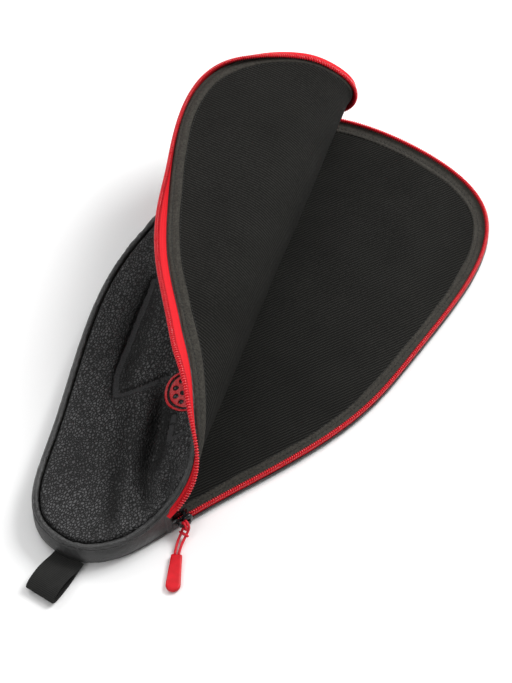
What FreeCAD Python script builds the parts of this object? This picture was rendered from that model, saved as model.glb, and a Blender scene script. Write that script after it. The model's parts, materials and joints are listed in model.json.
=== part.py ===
"""Soft padded case for one paddle, peeled open. Millimetres, +Z up.

The case lies on its back. X runs along its centreline from the handle end to the
head, Y to the left, and the origin is on the underside, midway along the case.
The front panel is rolled back about six parallel hinge lines. Every front piece is
made flat, as in the closed case, cut at the hinge lines, and then laid where the
rolled panel holds it.
"""

import FreeCAD, Part
import Sketcher
import math
import os

from FreeCAD import Placement, Rotation, Vector

os.makedirs("parts", exist_ok=True)
doc = FreeCAD.newDocument("paddle_case")

# ---------------------------------------------------------------- driving sizes

sheet = doc.addObject("Spreadsheet::Sheet", "Sizes")
SIZES = {
    # outline of the case, half of it: distance from the handle end, distance from the centreline
    "case_length": 435.0,
    "handle_tip_along": 5.0,
    "handle_tip_out": 20.4,
    "neck_along": 60.0,
    "neck_out": 53.3,
    "shoulder_along": 213.5,
    "shoulder_out": 107.8,
    "widest_along": 276.5,
    "widest_out": 110.3,
    "head_along": 412.2,
    "head_out": 81.4,
    # heights of the layers
    "case_height": 19.6,
    "skin_thickness": 1.2,
    "foam_thickness": 2.6,
    "lining_thickness": 0.8,
    "binding_thickness": 0.7,
    "piping_height": 3.0,
    "coil_height": 1.3,
    "coil_gap": 1.2,
    # distances in from the outline
    "piping_width": 3.0,
    "panel_inset": 3.0,
    "padding_inset": 4.0,
    "binding_inset": 4.0,
    "binding_width": 7.5,
    "tape_inset": 1.0,
    "tape_thickness": 0.8,
    "coil_inset": 0.4,
    "coil_width": 2.2,
    "gusset_inset": 0.6,
    "gusset_thickness": 1.2,
    "gusset_lining_thickness": 0.6,
    # the fold of the front panel
    "fold_start_along": 18.0,
    "fold_start_out": 34.4,
    "fold_direction": 15.9,
    "fold_spacing": 16.2,
    "fold_turn": 29.6,
    "fold_clearance": 0.3,
    # where the zipper ends, on each side
    "zip_right_along": 55.0,
    "zip_right_out": 51.2,
    "zip_left_along": 247.0,
    "zip_left_out": 110.0,
    # slider, parked at the right end of the zipper
    "slider_along": 64.2,
    "slider_out": 54.83,
    "slider_length": 11.0,
    "slider_width": 8.2,
    "slider_corner": 1.0,
    "slider_taper": 1.4,
    "slider_plate": 1.1,
    "outer_plate_gap": 0.5,
    "inner_plate_gap": 3.3,
    "bridge_length": 7.2,
    "bridge_height": 4.6,
    "bridge_width": 2.2,
    # pull
    "cord_diameter": 1.8,
    "cord_spread": 2.6,
    "tab_gap": 0.8,
    "tab_length": 27.5,
    "tab_width": 8.4,
    "tab_taper": 0.8,
    "tab_thickness": 3.4,
    # hang loop
    "loop_width": 22.0,
    "loop_length": 33.0,
    "loop_height": 8.6,
    "loop_out": 9.3,
    # printed mark
    "mark_along": 131.0,
    "mark_across": 6.0,
    "mark_diameter": 36.0,
    "mark_thickness": 0.3,
}
for row, (alias, value) in enumerate(SIZES.items(), start=1):
    sheet.set("A%d" % row, alias)
    sheet.set("B%d" % row, str(value))
    sheet.setAlias("B%d" % row, alias)
doc.recompute()


def size(alias):
    """One driving size, read back from the sheet."""
    return float(sheet.get(alias))


def bind(obj, **formulas):
    """Bind properties of an object to formulas that use the sheet's aliases."""
    for name, formula in formulas.items():
        words = formula.split(" ")
        bound = ["Sizes." + word if word in SIZES else word for word in words]
        obj.setExpression(name, " ".join(bound))


# ------------------------------------------------------------------- outline

MIDDLE = size("case_length") / 2.0
OUTLINE_SAMPLES = 48


def outline_curve():
    """Closed smooth outline through the half outline's points and their mirror."""
    names = ("handle_tip", "neck", "shoulder", "widest", "head")
    half = [(size(n + "_along") - MIDDLE, size(n + "_out")) for n in names]
    points = [Vector(-MIDDLE, 0, 0)]
    points += [Vector(x, -y, 0) for x, y in half]
    points += [Vector(MIDDLE, 0, 0)]
    points += [Vector(x, y, 0) for x, y in reversed(half)]
    curve = Part.BSplineCurve()
    curve.interpolate(Points=points, PeriodicFlag=True)
    return curve


OUTLINE = outline_curve()


def inset_wire(distance):
    """The outline moved inwards by a distance, as one closed smooth curve."""
    first, last = OUTLINE.FirstParameter, OUTLINE.LastParameter
    points = []
    for step in range(OUTLINE_SAMPLES):
        at = first + (last - first) * step / OUTLINE_SAMPLES
        tangent = OUTLINE.tangent(at)[0]
        inwards = Vector(-tangent.y, tangent.x, 0)
        points.append(OUTLINE.value(at) + inwards * distance)
    curve = Part.BSplineCurve()
    curve.interpolate(Points=points, PeriodicFlag=True)
    return Part.Wire(curve.toShape())


insets = {}


def inset_face(distance):
    """A document object holding the flat face inside the inset outline."""
    key = round(distance, 3)
    if key not in insets:
        face = doc.addObject("Part::Feature", "InsetFace")
        face.Label = "inset %.2f" % key
        face.Shape = Part.Face(inset_wire(key))
        insets[key] = face
    return insets[key]


def plate(distance, low, thickness):
    """A flat plate inside the inset outline; low and thickness are formulas."""
    body = doc.addObject("Part::Extrusion", "Plate")
    body.Base = inset_face(distance)
    body.DirMode = "Custom"
    body.Dir = Vector(0, 0, 1)
    body.Solid = True
    bind(body, LengthFwd=thickness)
    bind(body, **{"Placement.Base.z": low})
    return body


def ring(distance, width, low, thickness):
    """A plate with the middle taken out, width wide."""
    outer = plate(distance, low, thickness)
    inner = plate(distance + width, low, thickness)
    body = doc.addObject("Part::Cut", "Ring")
    body.Base = outer
    body.Tool = inner
    return body


# ----------------------------------------------------- cutting pieces out of layers

REACH = 700.0


def slab(name, angle, point, first, last):
    """A tall block between two parallel lines, measured across from a point.

    angle is the direction of the lines, and the block lies on their left hand
    from the distance first to the distance last.
    """
    block = doc.addObject("Part::Box", name)
    block.Length = 2 * REACH
    block.Width = last - first
    block.Height = 200.0
    along = Vector(math.cos(angle), math.sin(angle), 0)
    across = Vector(-math.sin(angle), math.cos(angle), 0)
    corner = point - along * REACH + across * first
    corner.z = -100.0
    block.Placement = Placement(corner, Rotation(Vector(0, 0, 1), math.degrees(angle)))
    return block


def common(name, first, second):
    """The part of one object that lies inside another."""
    body = doc.addObject("Part::Common", name)
    body.Base = first
    body.Tool = second
    return body


# The line that joins the zipper's two ends: the wall is zipper on the head's side
# of it, and leather gusset on the handle's side.
zip_right = Vector(size("zip_right_along") - MIDDLE, -size("zip_right_out"), 0)
zip_left = Vector(size("zip_left_along") - MIDDLE, size("zip_left_out"), 0)
end_line = math.atan2(zip_left.y - zip_right.y, zip_left.x - zip_right.x)


def head_side():
    """Block on the head's side of the line between the zipper's ends."""
    return slab("HeadSide", end_line, zip_right, -REACH, 0.0)


def handle_side():
    """Block on the handle's side of that line."""
    return slab("HandleSide", end_line, zip_right, 0.0, REACH)


# --------------------------------------------------------------------- the fold

FOLDS = 6
fold_angle = math.radians(size("fold_direction"))
fold_along = Vector(math.cos(fold_angle), math.sin(fold_angle), 0)
fold_across = Vector(math.sin(fold_angle), -math.cos(fold_angle), 0)
fold_start = Vector(size("fold_start_along") - MIDDLE, -size("fold_start_out"), 0)
spacing = size("fold_spacing")
turn = math.radians(size("fold_turn"))
top = size("case_height")


def hinge_distance(number):
    """Distance of a hinge line from the fold's start, across the flat panel."""
    return spacing * (number - 0.5)


def fold_placement(number):
    """Where the rolled panel carries what lies past a hinge: all turns up to it."""
    total = Placement()
    for hinge in range(1, number + 1):
        point = fold_start + fold_across * hinge_distance(hinge) + Vector(0, 0, top)
        spin = Rotation(fold_along, -math.degrees(turn))
        total = total.multiply(Placement(Vector(), spin, point))
    return total


def zone(number):
    """Block over the stretch of flat panel that one body of the fold carries."""
    gap = size("fold_clearance") / 2.0
    first = -REACH if number == 0 else hinge_distance(number) + gap
    last = REACH if number == FOLDS else hinge_distance(number + 1) - gap
    angle = fold_angle + math.pi
    return slab("FoldZone", angle, fold_start, first, last)


# ------------------------------------------------------------------- node keeping

nodes = {}


def keep(obj, label, placement=None):
    """Name a finished piece; the label names its file."""
    obj.Label = label
    nodes[label] = (obj, placement)
    return obj


def keep_front(layer, names):
    """Cut one front layer at the hinge lines and lay each stretch in its place."""
    for number, label in names.items():
        keep(common("Stretch", layer, zone(number)), label, fold_placement(number))


# --------------------------------------------------------------------- back panel

PANEL_INSET = size("panel_inset")
PADDING_INSET = size("padding_inset")
BINDING_INSET = size("binding_inset")
BINDING_WIDTH = size("binding_width")

keep(plate(PANEL_INSET, "0", "skin_thickness"), "back_cover")
keep(plate(PADDING_INSET, "skin_thickness", "foam_thickness"), "back_foam")
keep(
    plate(PADDING_INSET, "skin_thickness + foam_thickness", "lining_thickness"),
    "back_lining",
)
keep(ring(0.0, size("piping_width"), "0", "piping_height"), "back_piping")
keep(
    ring(
        BINDING_INSET,
        BINDING_WIDTH,
        "skin_thickness + foam_thickness + lining_thickness",
        "binding_thickness",
    ),
    "back_binding",
)

# ----------------------------------------------------------------- wall and zipper

WALL_LOW = "piping_height"
WALL_HEIGHT = "case_height - 2 * piping_height"
TAPE_HEIGHT = "case_height / 2 - piping_height - coil_height - coil_gap / 2"

gusset = ring(size("gusset_inset"), size("gusset_thickness"), WALL_LOW, WALL_HEIGHT)
keep(common("GussetCover", gusset, handle_side()), "gusset_cover")
lining_inset = size("gusset_inset") + size("gusset_thickness")
gusset_inside = ring(
    lining_inset,
    size("gusset_lining_thickness"),
    "piping_height + 2",
    "case_height - 2 * piping_height - 4",
)
keep(common("GussetLining", gusset_inside, handle_side()), "gusset_lining")

tape_inset = size("tape_inset")
tape_width = size("tape_thickness")
back_tape = ring(tape_inset, tape_width, WALL_LOW, TAPE_HEIGHT)
keep(common("BackTape", back_tape, head_side()), "zipper_tape_back")
back_coil = ring(
    size("coil_inset"),
    size("coil_width"),
    "case_height / 2 - coil_height - coil_gap / 2",
    "coil_height",
)
keep(common("BackCoil", back_coil, head_side()), "zipper_coil_back")

# -------------------------------------------------------------------- front panel

front_names = {0: "front_%s", FOLDS: "flap_%s"}
for strip in range(1, FOLDS):
    front_names[strip] = "fold_%d_%%s" % strip


def stretch_names(word, only=None):
    """Node names of one layer's stretches, from the fixed part to the flap."""
    numbers = range(FOLDS + 1) if only is None else only
    return {number: front_names[number] % word for number in numbers}


skin = plate(PANEL_INSET, "case_height - skin_thickness", "skin_thickness")
keep_front(skin, stretch_names("cover"))
foam = plate(
    PADDING_INSET,
    "case_height - skin_thickness - foam_thickness",
    "foam_thickness",
)
keep_front(foam, stretch_names("foam"))
lining = plate(
    PADDING_INSET,
    "case_height - skin_thickness - foam_thickness - lining_thickness",
    "lining_thickness",
)
keep_front(lining, stretch_names("lining"))
piping = ring(0.0, size("piping_width"), "case_height - piping_height", "piping_height")
keep_front(piping, stretch_names("piping", (0, FOLDS)))
binding = ring(
    BINDING_INSET,
    BINDING_WIDTH,
    "case_height - skin_thickness - foam_thickness - lining_thickness - binding_thickness",
    "binding_thickness",
)
keep_front(binding, stretch_names("binding", (0, FOLDS)))

front_tape = ring(
    tape_inset,
    tape_width,
    "case_height / 2 + coil_height + coil_gap / 2",
    TAPE_HEIGHT,
)
front_tape_zip = common("FrontTape", front_tape, head_side())
keep_front(front_tape_zip, stretch_names("zipper_tape"))
front_coil = ring(
    size("coil_inset"),
    size("coil_width"),
    "case_height / 2 + coil_gap / 2",
    "coil_height",
)
front_coil_zip = common("FrontCoil", front_coil, head_side())
keep_front(front_coil_zip, stretch_names("zipper_coil", (0, FOLDS)))

# --------------------------------------------------------- tabs over the zipper's ends


TAB_OUT = 0.5
TAB_THICKNESS = 0.9
TAB_REACH = 20.0


def end_tab(label, point, angle, before, after, height):
    """A leather tab wrapped over the wall at one end of the zipper."""
    wrap = ring(-TAB_OUT, TAB_THICKNESS, WALL_LOW, height)
    block = slab("TabLength", angle + math.pi / 2, point, -after, before)
    near = slab("TabSide", angle, point, -TAB_REACH, TAB_REACH)
    keep(common("Tab", common("TabBand", wrap, block), near), label)


# The right tab stops below the zipper's front tape, which swings past it.
track_angle = math.radians(22.3)
end_tab("end_tab_right", zip_right, -track_angle, 3.0, 3.5, "piping_height + 5")
end_tab("end_tab_left", zip_left, 0.0, 3.5, 3.0, WALL_HEIGHT)

# ------------------------------------------------------------------ printed mark

mark_point = fold_start + fold_along * size("mark_along") + fold_across * size("mark_across")
disc = doc.addObject("Part::Cylinder", "MarkDisc")
bind(disc, Radius="mark_diameter / 2", Height="mark_thickness")
disc.Placement = Placement(mark_point + Vector(0, 0, top), Rotation())
keep(common("Mark", disc, zone(0)), "front_mark")

# ------------------------------------------------------------- sketched solid bodies


def origin_plane(body, role):
    """One of a body's own origin planes, by its role."""
    return next(f for f in body.Origin.OriginFeatures if f.Role == role)


def new_body(label):
    """An empty PartDesign body whose label names its file."""
    body = doc.addObject("PartDesign::Body", "Body")
    body.Label = label
    return body


def at(alias, offset=0.0):
    """A coordinate that follows one driving size, plus an offset."""
    return (size(alias) + offset, "Sizes.%s + %s" % (alias, offset))


def corner_sketch(body, corners, height="0"):
    """Closed straight-sided sketch, each corner held by its distances from the axes.

    A coordinate is a number, or what at() gives, which stays bound to the sheet.
    """
    sketch = body.newObject("Sketcher::SketchObject", "Corners")
    sketch.AttachmentSupport = (origin_plane(body, "XY_Plane"), "")
    sketch.MapMode = "FlatFace"
    bind(sketch, **{"AttachmentOffset.Base.z": height})
    bound = [[c if isinstance(c, tuple) else (c, None) for c in xy] for xy in corners]
    places = [Vector(x[0], y[0], 0) for x, y in bound]
    for index, place in enumerate(places):
        following = places[(index + 1) % len(places)]
        sketch.addGeometry(Part.LineSegment(place, following), False)
    for index in range(len(places)):
        following = (index + 1) % len(places)
        sketch.addConstraint(Sketcher.Constraint("Coincident", index, 2, following, 1))
    for index, (x, y) in enumerate(bound):
        for kind, axis, (value, formula) in (("DistanceX", -2, x), ("DistanceY", -1, y)):
            if abs(value) < 1e-6:
                on_axis = Sketcher.Constraint("PointOnObject", index, 1, axis)
                sketch.addConstraint(on_axis)
                continue
            away = Sketcher.Constraint(kind, -1, 1, index, 1, value)
            number = sketch.addConstraint(away)
            if formula:
                sketch.setExpression("Constraints[%d]" % number, formula)
    return sketch


def pad(body, sketch, length, reverse=False):
    """Pad a sketch by a formula's length."""
    feature = body.newObject("PartDesign::Pad", "Pad")
    feature.Profile = sketch
    feature.Reversed = reverse
    bind(feature, Length=length)
    sketch.Visibility = False
    doc.recompute()
    return feature


def pocket(body, sketch, length, reverse=False):
    """Cut a sketch out of the body, and check that it did cut."""
    before = body.Shape.Volume
    feature = body.newObject("PartDesign::Pocket", "Pocket")
    feature.Profile = sketch
    feature.Reversed = reverse
    bind(feature, Length=length)
    doc.recompute()
    if body.Shape.Volume > before - 0.1:
        raise ValueError("pocket in %s cuts nothing" % body.Label)
    return feature


def round_edges(body, base, radius, picked):
    """Round the edges of a feature that picked() accepts."""
    names = ["Edge%d" % (i + 1) for i, e in enumerate(base.Shape.Edges) if picked(e)]
    feature = body.newObject("PartDesign::Fillet", "Fillet")
    feature.Base = (base, names)
    feature.Radius = radius
    doc.recompute()
    return feature


def upright(edge):
    """True for a straight edge along the body's Z."""
    return abs(abs(edge.tangentAt(edge.FirstParameter).z) - 1.0) < 1e-6


# ------------------------------------------------------------------------ slider

track = Vector(math.cos(track_angle), -math.sin(track_angle), 0)
outwards = Vector(-math.sin(track_angle), -math.cos(track_angle), 0)
up = Vector(0, 0, 1)
slider_mid = Vector(size("slider_along") - MIDDLE, -size("slider_out"), top / 2.0)
half_length = size("slider_length") / 2.0
half_width = size("slider_width") / 2.0


def frame_rotation(x_axis, y_axis, z_axis):
    """Rotation that takes X, Y and Z to three given directions."""
    return Rotation(x_axis, y_axis, z_axis, "XYZ")


SHOULDER = 6.0
DIVIDER = (7.6, 9.6)
DIVIDER_HALF = 0.3
slider = new_body("slider_body")
slider_corner = size("slider_corner")
slider_taper = size("slider_taper")
shield = [
    (0, slider_taper),
    (SHOULDER, 0),
    (at("slider_length", -slider_corner), 0),
    (at("slider_length"), slider_corner),
    (at("slider_length"), at("slider_width", -slider_corner)),
    (at("slider_length", -slider_corner), at("slider_width")),
    (SHOULDER, at("slider_width")),
    (0, at("slider_width", -slider_taper)),
]
outer_plate = corner_sketch(slider, shield, "outer_plate_gap")
pad(slider, outer_plate, "slider_plate")
inner_plate = corner_sketch(slider, shield, "0 - inner_plate_gap")
pad(slider, inner_plate, "slider_plate", reverse=True)
divider_post = [
    (DIVIDER[0], half_width - DIVIDER_HALF),
    (DIVIDER[1], half_width - DIVIDER_HALF),
    (DIVIDER[1], half_width + DIVIDER_HALF),
    (DIVIDER[0], half_width + DIVIDER_HALF),
]
divider = corner_sketch(slider, divider_post, "0 - inner_plate_gap - 0.1")
pad(slider, divider, "inner_plate_gap + outer_plate_gap + 0.3")
slider.Placement = Placement(
    slider_mid - track * half_length - up * half_width,
    frame_rotation(track, up, outwards),
)
keep(slider, "slider_body")

BAR_THICKNESS = 1.2
FOOT_LENGTH = 1.4
bar_under = size("bridge_height") - BAR_THICKNESS
bridge = new_body("slider_bridge")
arch = [
    (0, 0),
    (FOOT_LENGTH, 0),
    (FOOT_LENGTH + 0.4, bar_under),
    (at("bridge_length", -FOOT_LENGTH - 0.4), bar_under),
    (at("bridge_length", -FOOT_LENGTH), 0),
    (at("bridge_length"), 0),
    (at("bridge_length", -0.3), bar_under),
    (at("bridge_length", -1.3), at("bridge_height")),
    (1.3, at("bridge_height")),
    (0.3, bar_under),
]
arch_pad = pad(bridge, corner_sketch(bridge, arch), "bridge_width")
bridge_base = size("outer_plate_gap") + size("slider_plate")
bridge.Placement = Placement(
    slider_mid
    - track * (size("bridge_length") / 2.0)
    + outwards * bridge_base
    + up * (size("bridge_width") / 2.0),
    frame_rotation(track, outwards, up * -1.0),
)
keep(bridge, "slider_bridge")

# -------------------------------------------------------------------- pull: the tab

TAB_CENTRE_HEIGHT = 1.9
tab_top = Vector(-174.7, -65.2, TAB_CENTRE_HEIGHT)
tab_angle = math.atan2(-0.492, -0.870)
tab_along = Vector(math.cos(tab_angle), math.sin(tab_angle), 0)
tab_across = Vector(-math.sin(tab_angle), math.cos(tab_angle), 0)
tab = new_body("pull_tab")
tab_taper = size("tab_taper")
tab_middle = size("tab_width") / 2.0
tab_shape = [
    (0, tab_taper),
    (at("tab_length", -7.5), 0),
    (at("tab_length", -2.3), 1.2),
    (at("tab_length"), tab_middle),
    (at("tab_length", -2.3), at("tab_width", -1.2)),
    (at("tab_length", -7.5), at("tab_width")),
    (0, at("tab_width", -tab_taper)),
]
tab_pad = pad(tab, corner_sketch(tab, tab_shape), "tab_thickness")
round_edges(tab, tab_pad, 1.0, lambda edge: not upright(edge))
tab.Placement = Placement(
    tab_top - tab_across * tab_middle - up * (size("tab_thickness") / 2.0),
    frame_rotation(tab_along, tab_across, up),
)
keep(tab, "pull_tab")

# ------------------------------------------------------------------- pull: the cord


def rounded_path(points):
    """Straight runs joined by tangent arcs, as one wire; prints the arcs' radii."""
    edges = []
    start = points[0]
    radii = []
    for before, corner, after in zip(points, points[1:], points[2:]):
        back = before - corner
        ahead = after - corner
        shorter = min(back.Length, ahead.Length)
        reach = 0.45 * shorter
        bend = math.pi - back.getAngle(ahead)
        radii.append(round(reach / math.tan(bend / 2.0), 1))
        back = back.normalize()
        ahead = ahead.normalize()
        first = corner + back * reach
        last = corner + ahead * reach
        middle_way = (back + ahead).normalize()
        sag = reach / math.tan(bend / 2.0) * (1.0 / math.cos(bend / 2.0) - 1.0)
        edges.append(Part.LineSegment(start, first).toShape())
        edges.append(Part.Arc(first, corner + middle_way * sag, last).toShape())
        start = last
    edges.append(Part.LineSegment(start, points[-1]).toShape())
    print("cord radii", radii)
    return Part.Wire(edges)


def beside_slider(out, height):
    """A point in the plane across the slider's middle."""
    point = slider_mid + outwards * out
    return Vector(point.x, point.y, height)


# The cord stops just short of the tab, which bends where it leaves the cord's ends.
cord_end = tab_top - tab_along * size("tab_gap")
half_spread = tab_across * (size("cord_spread") / 2.0)
CORD_ROUTE = [
    cord_end - half_spread,
    Vector(-168.6, -60.5, 2.3),
    Vector(-161.4, -58.9, 4.4),
    beside_slider(3.1, 7.4),
    beside_slider(3.1, 12.4),
    beside_slider(8.1, 12.4),
    beside_slider(8.1, 7.3),
    Vector(-161.2, -62.5, 4.0),
    Vector(-167.9, -63.5, 2.2),
    cord_end + half_spread,
]
cord = doc.addObject("Part::Feature", "Cord")
cord_path = rounded_path(CORD_ROUTE)
radius = size("cord_diameter") / 2.0
section = Part.Wire(Part.Circle(CORD_ROUTE[0], CORD_ROUTE[1] - CORD_ROUTE[0], radius).toShape())
cord.Shape = cord_path.makePipeShell([section], True, False)
tube_volume = math.pi * radius * radius * cord_path.Length
print("cord length %.1f, volume over section times length %.4f"
      % (cord_path.Length, cord.Shape.Volume / tube_volume))
keep(cord, "pull_cord")

# ---------------------------------------------------------------------- hang loop

loop = new_body("hang_loop")
loop_outer = [
    (0, 3.2),
    (0, 5.4),
    (10, 8.0),
    (24, at("loop_height")),
    (at("loop_length", -2.0), 6.6),
    (at("loop_length"), 4.3),
    (at("loop_length", -2.0), 1.0),
    (at("loop_length", -6.0), 0),
    (12, 0),
]
loop_inner = [
    (9, 3.2),
    (13, 1.7),
    (at("loop_length", -6.4), 1.6),
    (at("loop_length", -2.0), 4.3),
    (24, at("loop_height", -1.7)),
    (12, 6.2),
    (9, 4.8),
]
LOOP_GAP = 0.3
pad(loop, corner_sketch(loop, loop_outer), "loop_width")
pocket(loop, corner_sketch(loop, loop_inner), "loop_width", reverse=True)
loop.Placement = Placement(
    Vector(-MIDDLE - LOOP_GAP, -size("loop_out") - size("loop_width") / 2.0, 0),
    frame_rotation(Vector(-1, 0, 0), up, Vector(0, 1, 0)),
)
keep(loop, "hang_loop")

# -------------------------------------------------------------- check and write out

doc.recompute()
for obj, placement in nodes.values():
    if placement is not None:
        obj.Placement = placement

for obj in doc.Objects:
    if "Invalid" in obj.State or "Error" in obj.State:
        raise ValueError("%s failed: %s" % (obj.Label, obj.State))
for label, (obj, placement) in nodes.items():
    shape = obj.Shape
    if shape.isNull() or not shape.isValid() or not shape.Solids:
        raise ValueError("%s has no sound shape" % label)

for label, (obj, placement) in nodes.items():
    obj.Shape.exportStep("parts/%s.step" % label)
print("%d pieces written" % len(nodes))
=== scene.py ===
"""Visual model of a soft padded paddle case, peeled open, built round its CAD frame.

Metres, in the frame's own axes: X from the handle end to the head, Y to the left, Z up.
Every front piece is made flat, as in the closed case, then rolled back as the frame's
hinges hold it, and cut into one piece for each stretch between two hinges.
"""

import json

import bmesh
import bpy
import numpy as np
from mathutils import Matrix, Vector
from numpy import cos, pi, sin

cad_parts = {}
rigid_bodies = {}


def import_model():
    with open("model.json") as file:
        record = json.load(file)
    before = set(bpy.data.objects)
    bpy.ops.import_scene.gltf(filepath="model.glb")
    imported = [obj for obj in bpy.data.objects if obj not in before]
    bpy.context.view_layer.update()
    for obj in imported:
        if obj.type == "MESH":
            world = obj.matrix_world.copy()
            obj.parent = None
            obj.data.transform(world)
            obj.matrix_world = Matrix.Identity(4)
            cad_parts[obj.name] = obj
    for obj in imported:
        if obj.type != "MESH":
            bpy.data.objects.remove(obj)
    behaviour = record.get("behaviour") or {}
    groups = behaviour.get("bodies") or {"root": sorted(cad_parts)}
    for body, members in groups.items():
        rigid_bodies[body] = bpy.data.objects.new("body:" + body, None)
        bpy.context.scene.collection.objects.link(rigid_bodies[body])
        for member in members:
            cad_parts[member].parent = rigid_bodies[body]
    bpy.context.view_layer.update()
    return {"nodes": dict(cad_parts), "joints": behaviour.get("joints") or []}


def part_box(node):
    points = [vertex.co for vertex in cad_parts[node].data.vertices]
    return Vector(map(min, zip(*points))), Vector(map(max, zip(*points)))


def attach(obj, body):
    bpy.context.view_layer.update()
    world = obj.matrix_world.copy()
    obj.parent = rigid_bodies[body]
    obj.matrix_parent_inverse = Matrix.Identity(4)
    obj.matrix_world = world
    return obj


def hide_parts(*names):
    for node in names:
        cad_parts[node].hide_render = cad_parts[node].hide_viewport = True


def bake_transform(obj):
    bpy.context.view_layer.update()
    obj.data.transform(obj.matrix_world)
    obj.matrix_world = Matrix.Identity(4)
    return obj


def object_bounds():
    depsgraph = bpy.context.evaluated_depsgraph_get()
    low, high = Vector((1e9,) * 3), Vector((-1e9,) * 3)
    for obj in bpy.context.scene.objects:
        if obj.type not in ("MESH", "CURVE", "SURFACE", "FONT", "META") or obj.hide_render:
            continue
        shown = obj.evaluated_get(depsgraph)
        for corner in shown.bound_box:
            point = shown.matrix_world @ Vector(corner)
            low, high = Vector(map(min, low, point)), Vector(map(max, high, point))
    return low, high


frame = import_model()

MM = 0.001

# ---- what the frame says

joints = {joint["name"]: joint for joint in frame["joints"]}
FOLD_JOINTS = ["panel_fold"] + ["panel_fold_%d" % k for k in range(2, 7)]
FOLD_BODIES = [joints["panel_fold"]["parent"]] + [joints[n]["child"] for n in FOLD_JOINTS]
FOLDS = len(FOLD_JOINTS)
hinges = [np.array(joints[name]["pos_m"]) for name in FOLD_JOINTS]
fold_along = np.array(joints["panel_fold"]["axis"])
fold_across = np.array([fold_along[1], -fold_along[0], 0.0])
fold_turn = np.radians(joints["panel_fold"]["range_deg"][1])
fold_step = float(np.linalg.norm(hinges[1] - hinges[0]))
fold_start = hinges[0] - fold_across * (fold_step / 2)
fold_radius = fold_step / 2 / np.tan(fold_turn / 2)
fold_length = fold_step * FOLDS
FACE = float(fold_start[2])

PANEL_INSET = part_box("back_cover")[0].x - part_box("back_piping")[0].x
BACK_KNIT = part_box("back_lining")[1].z
FRONT_KNIT = FACE - BACK_KNIT
WALL_LOW, WALL_HIGH = (corner.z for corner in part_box("gusset_cover"))

# ---- small sums


def ring(count):
    """Angles evenly round a circle."""
    return np.linspace(0, 2 * pi, count, endpoint=False)


def unit(rows):
    """Rows of numbers, each made one long."""
    return rows / np.linalg.norm(rows, axis=-1, keepdims=True)


def quarter_turn(rows):
    """Rows of (x, y) turned a quarter turn to the left."""
    return np.column_stack([-rows[:, 1], rows[:, 0]])


def run_of(line):
    """Distance along a line of points, at each of them."""
    return np.concatenate([[0], np.cumsum(np.linalg.norm(np.diff(line, axis=0), axis=1))])


def points_at(at, line):
    """Points at distances along a line of (x, y) points."""
    return np.column_stack([np.interp(at, run_of(line), line[:, axis]) for axis in (0, 1)])


def blurred(values, reach, width, padding, **how):
    """Values along a line, smoothed with a bell."""
    bell = np.exp(-((np.arange(-reach, reach + 1) / width) ** 2))
    return np.convolve(np.pad(values, reach, padding, **how), bell / bell.sum(), "valid")


def hump(distance, width):
    """A smooth bump of height 1, about twice the width across."""
    return np.exp(-((distance / width) ** 2))


def ramp_up(value, low, high):
    """0 below low, 1 above high, smooth between."""
    part = np.clip((value - low) / (high - low), 0, 1)
    return part * part * (3 - 2 * part)


def plateau(value, *edges):
    """1 between the middle two of four edges, 0 outside them, smooth between."""
    return ramp_up(value, *edges[:2]) * (1 - ramp_up(value, *edges[2:]))


def squarish(angle, power):
    """Points round a square with rounded corners, squarer for a smaller power."""
    return [np.sign(side) * np.abs(side) ** power for side in (cos(angle), sin(angle))]


def past_fold(points):
    """How far points are across the fold from where it starts."""
    return (points - fold_start) @ fold_across


# ---- the rim

RIM_COUNT = 1200
RIM_BLUR = 2.5 * MM


def spread_evenly(points, count):
    """Evenly spaced points on a smoothed closed line, and its length."""
    closed = np.vstack([points, points[:1]])
    length = run_of(closed)[-1]
    even = points_at(np.linspace(0, length, count, endpoint=False), closed)
    waves = np.fft.fftfreq(count, length / count)[:, None]
    softened = np.fft.fft(even, axis=0) * np.exp(-2 * (pi * RIM_BLUR * waves) ** 2)
    return np.fft.ifft(softened, axis=0).real, length


def plate_edge(node):
    """Corners of a flat CAD plate's outline, in order round it."""
    corners = np.array([v.co for v in frame["nodes"][node].data.vertices])
    low = corners[corners[:, 2] < corners[:, 2].min() + 0.1 * MM][:, :2]
    low = np.unique(np.round(low, 6), axis=0)
    return low[np.argsort(np.arctan2(low[:, 1], low[:, 0]))]


def inwards_of(closed):
    """Direction to the left of a closed line, at each point."""
    return quarter_turn(unit(np.roll(closed, -1, 0) - np.roll(closed, 1, 0)))


inner_edge, _ = spread_evenly(plate_edge("back_cover"), RIM_COUNT)
outer_edge = inner_edge - PANEL_INSET * inwards_of(inner_edge)
rim_points, RIM_LENGTH = spread_evenly(outer_edge, RIM_COUNT)
rim_inwards = inwards_of(rim_points)


def on_rim(at):
    """Point and inward direction at distances along the rim."""
    at = np.asarray(at, float) / RIM_LENGTH * RIM_COUNT
    low = np.floor(at).astype(int)
    part = (at - low)[..., None]
    first, second = low % RIM_COUNT, (low + 1) % RIM_COUNT
    point = rim_points[first] * (1 - part) + rim_points[second] * part
    return point, rim_inwards[first] * (1 - part) + rim_inwards[second] * part


def rim_place(node):
    """Distance along the rim to a CAD node's middle."""
    middle = np.mean(np.array(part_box(node)), axis=0)
    gap = np.linalg.norm(rim_points - middle[:2], axis=1)
    return float(gap.argmin()) * RIM_LENGTH / RIM_COUNT


ZIP_START = rim_place("end_tab_right")
ZIP_END = rim_place("end_tab_left") - 6.5 * MM


def along_rim(first, last, step):
    """Distances from first to last, about a step apart."""
    return np.linspace(first, last, max(2, int(round((last - first) / step)) + 1))


def round_rim(count):
    """Distances evenly round the whole rim."""
    return np.linspace(0, RIM_LENGTH, count, endpoint=False)


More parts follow.
